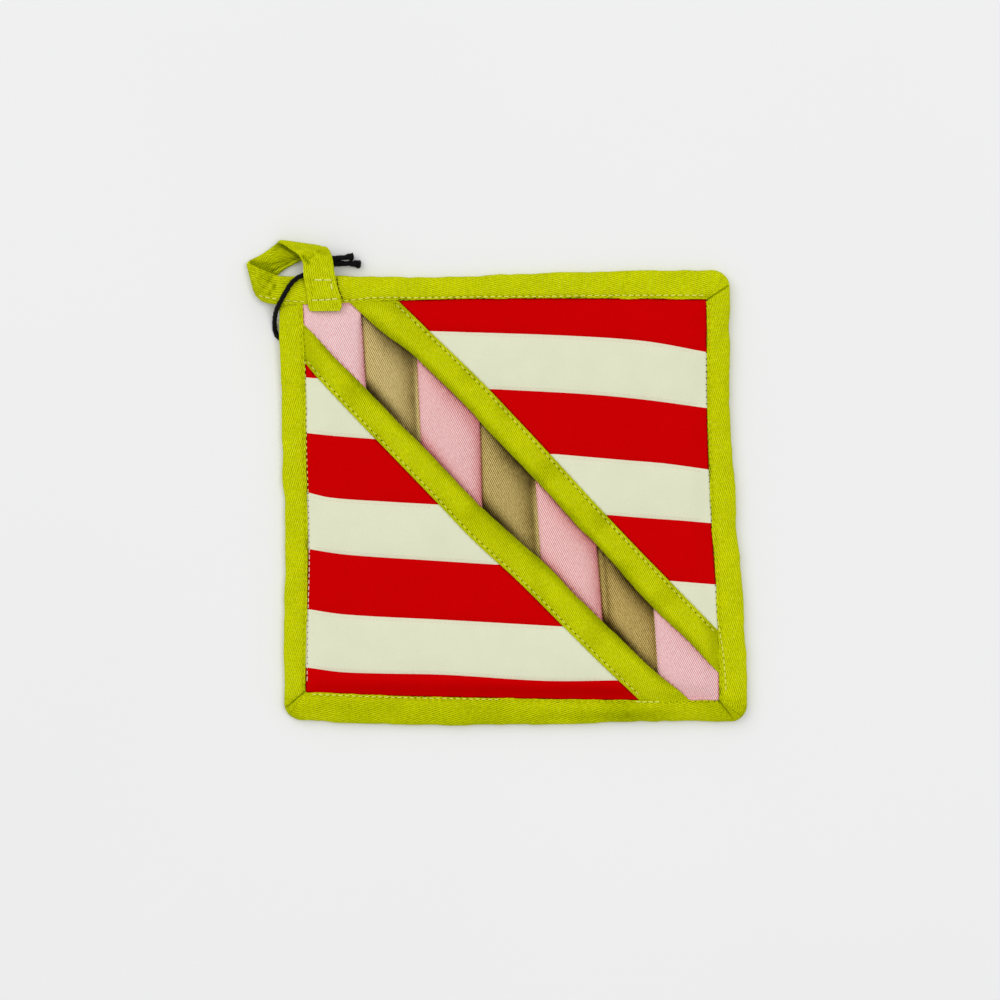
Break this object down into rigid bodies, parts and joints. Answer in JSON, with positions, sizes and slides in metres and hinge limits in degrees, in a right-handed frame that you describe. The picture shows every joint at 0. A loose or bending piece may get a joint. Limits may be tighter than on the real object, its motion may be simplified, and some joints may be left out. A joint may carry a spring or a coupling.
{
  "type": "quilted pot holder",
  "caption": "Square quilted cloth pot holder with a striped patchwork front, a diagonal band, a folded edge binding and a corner hanging loop.",
  "frame": {"origin": "middle of the flat back of the pad, on the surface that it lies on", "axes": "+X to the right of the front, +Y up the front towards the looped side, +Z out of the front"},
  "size_m": [0.2238, 0.2165, 0.012],
  "materials": {
    "patchwork_cotton": "matt woven cotton in red, cream, pink and khaki patches",
    "green_twill": "matt cotton twill",
    "black_cord": "matt waxed cord"
  },
  "bodies": {
    "root": {"quilted_pad": "patchwork_cotton", "edge_binding": "green_twill", "bias_strip_upper": "green_twill", "bias_strip_lower": "green_twill", "hanging_loop": "green_twill", "tie_cord": "black_cord", "tie_end_upper": "black_cord", "tie_end_lower": "black_cord", "tie_knot": "black_cord"}
  },
  "joints": []
}
